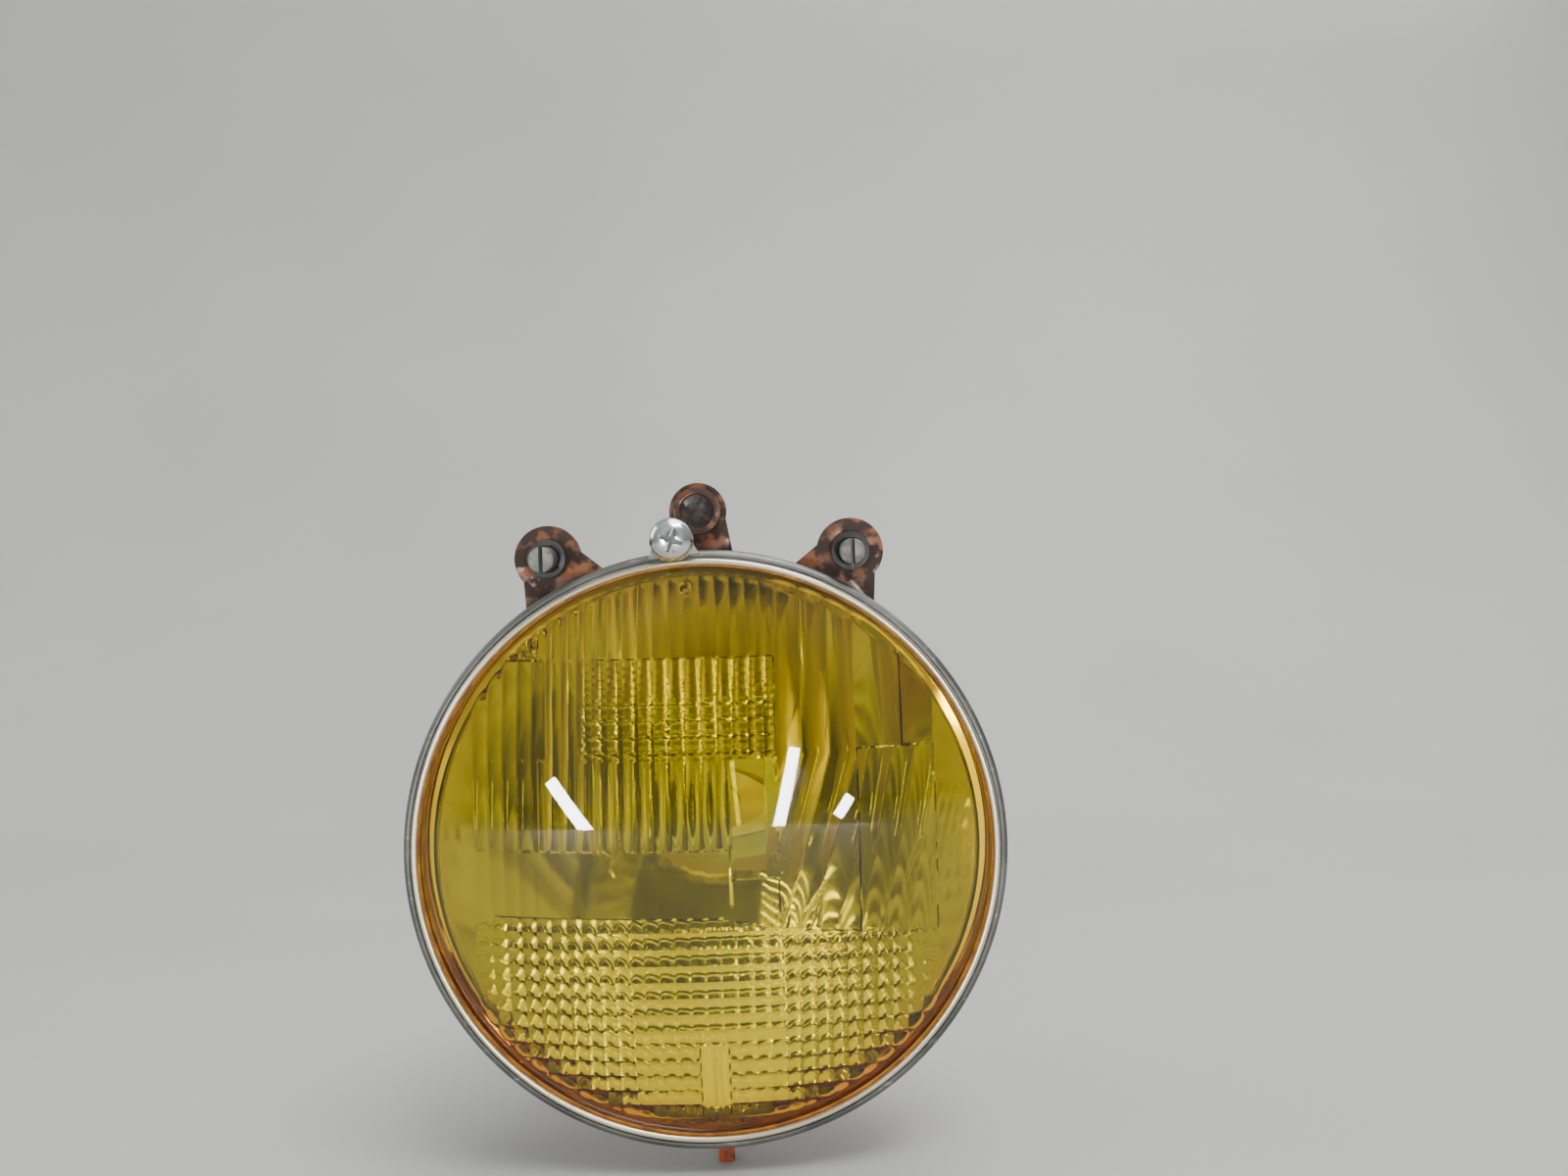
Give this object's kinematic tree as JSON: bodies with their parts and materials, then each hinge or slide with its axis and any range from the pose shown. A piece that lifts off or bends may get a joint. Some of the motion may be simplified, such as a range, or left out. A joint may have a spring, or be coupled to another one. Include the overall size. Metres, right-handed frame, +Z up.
{
  "type": "vehicle headlamp unit",
  "caption": "Round headlamp unit with a fluted yellow lens, steel rim, amber reflector bowl, aiming screws, captive retaining screw and a clipped three-blade bulb.",
  "frame": {"origin": "on the lamp's optical axis, in the plane where the rim and the bowl's flange end, which is the face that seats in the vehicle's lamp bowl", "axes": "+Y rearward along the optical axis (the lens faces -Y), +Z up, +X to the right seen from the front"},
  "size_m": [0.18, 0.144, 0.2081],
  "materials": {
    "lens_glass": "pressed, selective yellow",
    "seal_compound": "matt, orange brown",
    "rim_steel": "dull plated",
    "clip_steel": "satin",
    "red_oxide_paint": "rusty red",
    "bowl_lacquer": "glossy amber lacquer",
    "boss_lacquer": "worn amber lacquer",
    "black_nylon": "satin",
    "screw_nylon": "satin",
    "screw_chrome": "polished",
    "grey_zinc": "dull zinc",
    "collar_zinc": "greenish zinc plate",
    "spring_wire": "bright drawn wire",
    "bulb_flange_steel": "satin",
    "bulb_base_metal": "satin brass",
    "bulb_clear_glass": "clear, painted tip",
    "filament_wire": "grey tungsten",
    "insulator_brown": "dark moulded resin",
    "blade_tin": "tinned"
  },
  "bodies": {
    "unit": {"lens": "lens_glass", "lens_seal": "seal_compound", "rim": "rim_steel", "rim_clips": "clip_steel", "lower_hook": "red_oxide_paint", "reflector_bowl": "bowl_lacquer", "ear_left": "bowl_lacquer", "ear_right": "bowl_lacquer", "pivot_ear": "bowl_lacquer", "pivot_boss": "boss_lacquer", "bush_left": "black_nylon", "bush_right": "black_nylon", "bulb_seat": "collar_zinc", "bulb_collar": "collar_zinc", "boot_seat": "collar_zinc", "clip_hinge": "collar_zinc", "clip_latches": "collar_zinc", "bulb_flange": "bulb_flange_steel", "bulb_base": "bulb_base_metal", "bulb_glass": "bulb_clear_glass", "filaments": "filament_wire", "filament_shield": "filament_wire", "bulb_insulator": "insulator_brown", "blade_left": "blade_tin", "blade_right": "blade_tin", "blade_top": "blade_tin"},
    "aim_foot_left": {"aim_foot_left": "screw_nylon"},
    "aim_screw_left": {"aim_screw_left": "screw_nylon"},
    "aim_foot_right": {"aim_foot_right": "screw_nylon"},
    "aim_screw_right": {"aim_screw_right": "screw_nylon"},
    "screw_washer": {"screw_washer": "grey_zinc"},
    "rim_screw": {"rim_screw": "screw_chrome"},
    "bulb_clip": {"bulb_clip": "spring_wire"}
  },
  "joints": [
    {"name": "aim_left_travel", "type": "slide", "parent": "unit", "child": "aim_foot_left", "axis": [0, 1, 0], "range_m": [-0.006, 0.006]},
    {"name": "aim_left_turn", "type": "hinge", "parent": "aim_foot_left", "child": "aim_screw_left", "pos_m": [-0.0456, 0, 0.0884], "axis": [0, 1, 0], "range_deg": [-1080, 1080]},
    {"name": "aim_right_travel", "type": "slide", "parent": "unit", "child": "aim_foot_right", "axis": [0, 1, 0], "range_m": [-0.006, 0.006]},
    {"name": "aim_right_turn", "type": "hinge", "parent": "aim_foot_right", "child": "aim_screw_right", "pos_m": [0.0456, 0, 0.0884], "axis": [0, 1, 0], "range_deg": [-1080, 1080]},
    {"name": "screw_draw", "type": "slide", "parent": "unit", "child": "screw_washer", "axis": [0, -1, 0], "range_m": [0, 0.0105]},
    {"name": "screw_turn", "type": "hinge", "parent": "screw_washer", "child": "rim_screw", "pos_m": [-0.0073, 0, 0.0932], "axis": [0, 1, 0], "continuous": true},
    {"name": "clip_swing", "type": "hinge", "parent": "unit", "child": "bulb_clip", "pos_m": [0, 0.0838, 0.022], "axis": [1, 0, 0], "range_deg": [0, 85]}
  ],
  "couplings": [
    {"joint": "aim_left_turn", "follows": "aim_left_travel", "rad_per_m": 3141.6},
    {"joint": "aim_right_turn", "follows": "aim_right_travel", "rad_per_m": 3141.6}
  ]
}
